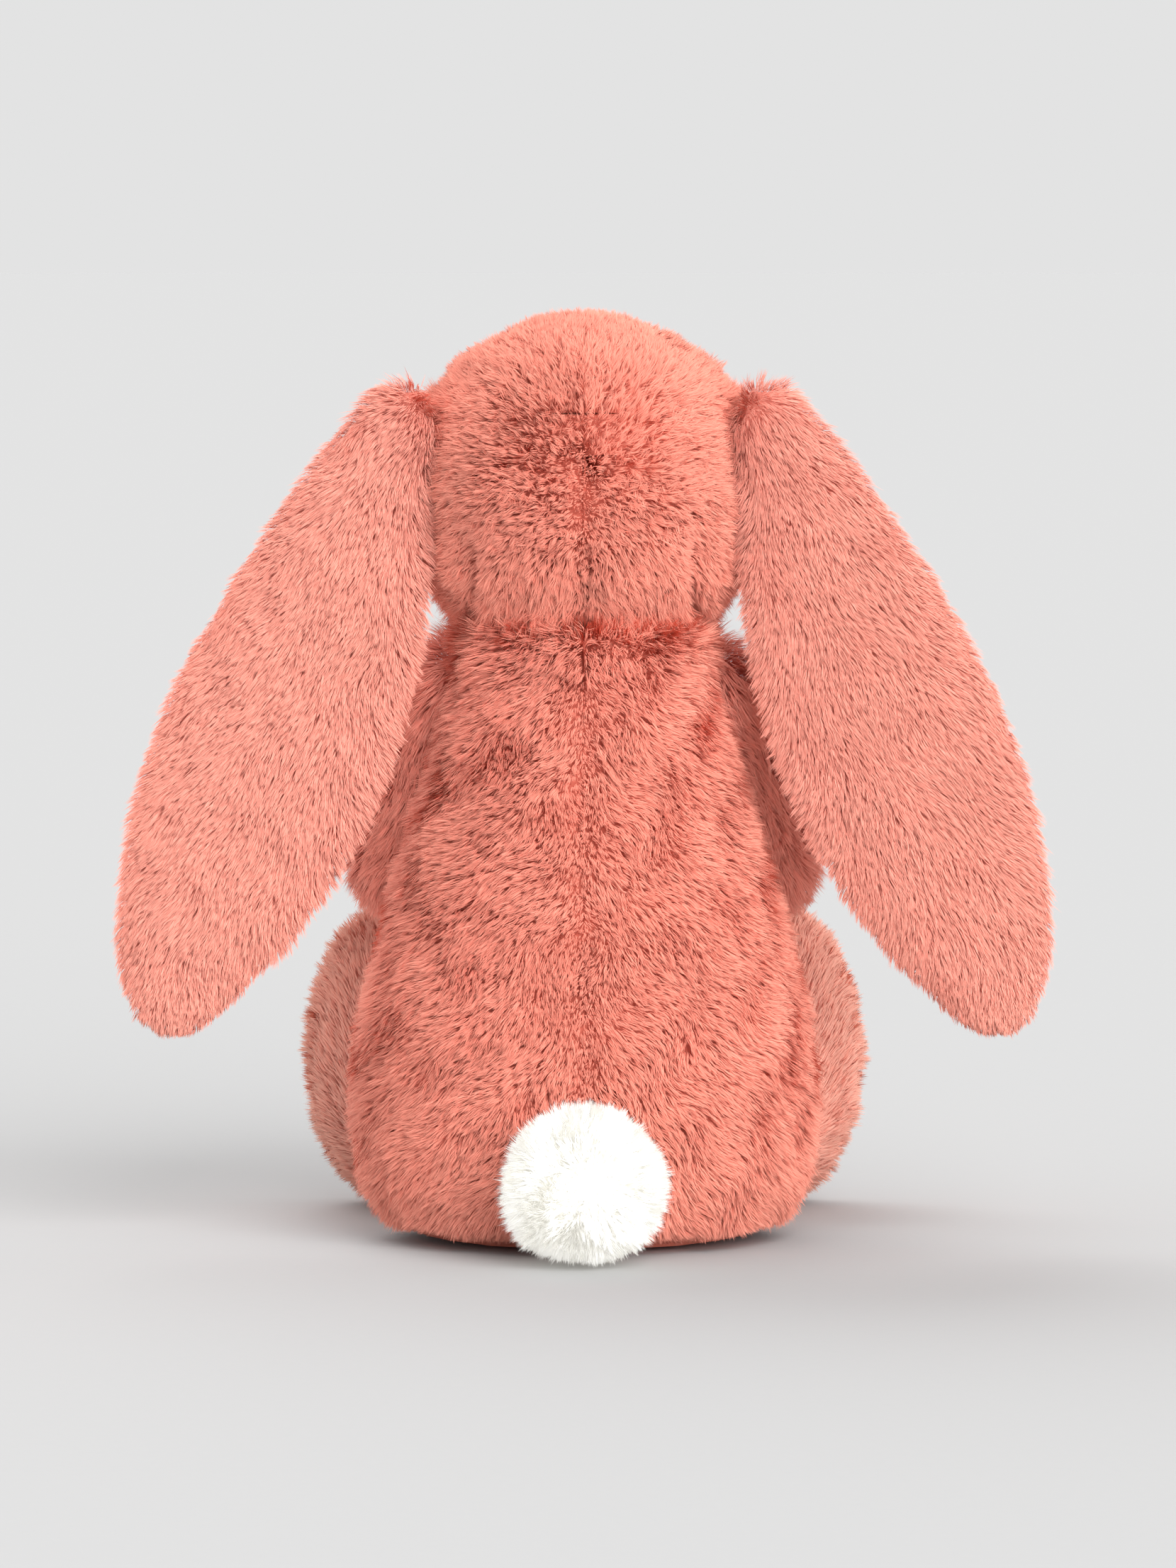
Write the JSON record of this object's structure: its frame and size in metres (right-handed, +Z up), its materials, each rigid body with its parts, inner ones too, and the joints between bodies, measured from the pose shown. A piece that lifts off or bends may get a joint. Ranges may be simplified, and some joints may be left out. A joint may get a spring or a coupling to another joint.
{
  "type": "stuffed bunny rabbit",
  "caption": "Seated plush bunny rabbit with long lop ears, a coral fur coat, cream muzzle and white pompom tail; head, ears, arms, legs and tail move.",
  "frame": {"origin": "centre of the footprint on the surface that the bunny sits on", "axes": "+Z up, the bunny faces -Y and its left side is +X"},
  "size_m": [0.2356, 0.167, 0.2385],
  "materials": {
    "coral_fur": "matte",
    "ear_lining": "matte",
    "cream_fur": "matte",
    "white_fur": "matte",
    "sole_plush": "matte",
    "polyester_fibre": "matte",
    "pellet_pouch": "matte",
    "eye_black": "gloss",
    "washer_white": "satin",
    "nose_thread": "matte",
    "mouth_thread": "matte"
  },
  "bodies": {
    "torso": {"back_left": "coral_fur", "back_right": "coral_fur", "belly": "coral_fur", "torso_stuffing": "polyester_fibre", "seat_bean_bag": "pellet_pouch"},
    "neck": {"neck_stuffing": "polyester_fibre"},
    "head": {"head_back_left": "coral_fur", "head_back_right": "coral_fur", "cheek_left": "coral_fur", "cheek_right": "coral_fur", "muzzle": "cream_fur", "nose": "nose_thread", "lip_thread": "mouth_thread", "mouth_thread": "mouth_thread", "eye_left": "eye_black", "eye_right": "eye_black", "eye_washer_left": "washer_white", "eye_washer_right": "washer_white", "head_stuffing": "polyester_fibre"},
    "ear_left": {"ear_back_left": "coral_fur", "ear_lining_left": "ear_lining"},
    "ear_right": {"ear_back_right": "coral_fur", "ear_lining_right": "ear_lining"},
    "arm_left": {"arm_outer_left": "coral_fur", "arm_inner_left": "coral_fur", "arm_stuffing_left": "polyester_fibre"},
    "arm_right": {"arm_outer_right": "coral_fur", "arm_inner_right": "coral_fur", "arm_stuffing_right": "polyester_fibre"},
    "leg_left": {"leg_outer_left": "coral_fur", "leg_inner_left": "coral_fur", "sole_left": "sole_plush", "leg_stuffing_left": "polyester_fibre", "foot_bean_bag_left": "pellet_pouch"},
    "leg_right": {"leg_outer_right": "coral_fur", "leg_inner_right": "coral_fur", "sole_right": "sole_plush", "leg_stuffing_right": "polyester_fibre", "foot_bean_bag_right": "pellet_pouch"},
    "tail": {"tail_cover": "white_fur", "tail_stuffing": "polyester_fibre"}
  },
  "joints": [
    {"name": "neck_turn", "type": "hinge", "parent": "torso", "child": "neck", "pos_m": [0, 0.0045, 0.192], "axis": [0, 0, 1], "range_deg": [-15, 15], "stiffness_Nm_per_rad": 0.15},
    {"name": "neck_nod", "type": "hinge", "parent": "neck", "child": "head", "pos_m": [0, 0.0045, 0.192], "axis": [1, 0, 0], "range_deg": [-10, 10], "stiffness_Nm_per_rad": 0.3},
    {"name": "ear_lift_left", "type": "hinge", "parent": "head", "child": "ear_left", "pos_m": [0.047, 0.0185, 0.211], "axis": [0, -1, 0], "range_deg": [0, 95]},
    {"name": "ear_lift_right", "type": "hinge", "parent": "head", "child": "ear_right", "pos_m": [-0.047, 0.0185, 0.211], "axis": [0, 1, 0], "range_deg": [0, 95]},
    {"name": "shoulder_left", "type": "hinge", "parent": "torso", "child": "arm_left", "pos_m": [0.032, -0.0105, 0.14], "axis": [-0.8229, -0.5682, 0], "range_deg": [0, 75]},
    {"name": "shoulder_right", "type": "hinge", "parent": "torso", "child": "arm_right", "pos_m": [-0.032, -0.0105, 0.14], "axis": [-0.8229, 0.5682, 0], "range_deg": [0, 75]},
    {"name": "hip_left", "type": "hinge", "parent": "torso", "child": "leg_left", "pos_m": [0.034, -0.0285, 0.0215], "axis": [-1, 0, 0], "range_deg": [-60, 8], "stiffness_Nm_per_rad": 0.2},
    {"name": "hip_right", "type": "hinge", "parent": "torso", "child": "leg_right", "pos_m": [-0.034, -0.0285, 0.0215], "axis": [-1, 0, 0], "range_deg": [-60, 8], "stiffness_Nm_per_rad": 0.2},
    {"name": "tail_swing", "type": "hinge", "parent": "torso", "child": "tail", "pos_m": [0, 0.0515, 0.0198], "axis": [0, 0, 1], "range_deg": [-20, 20], "stiffness_Nm_per_rad": 0.02}
  ]
}
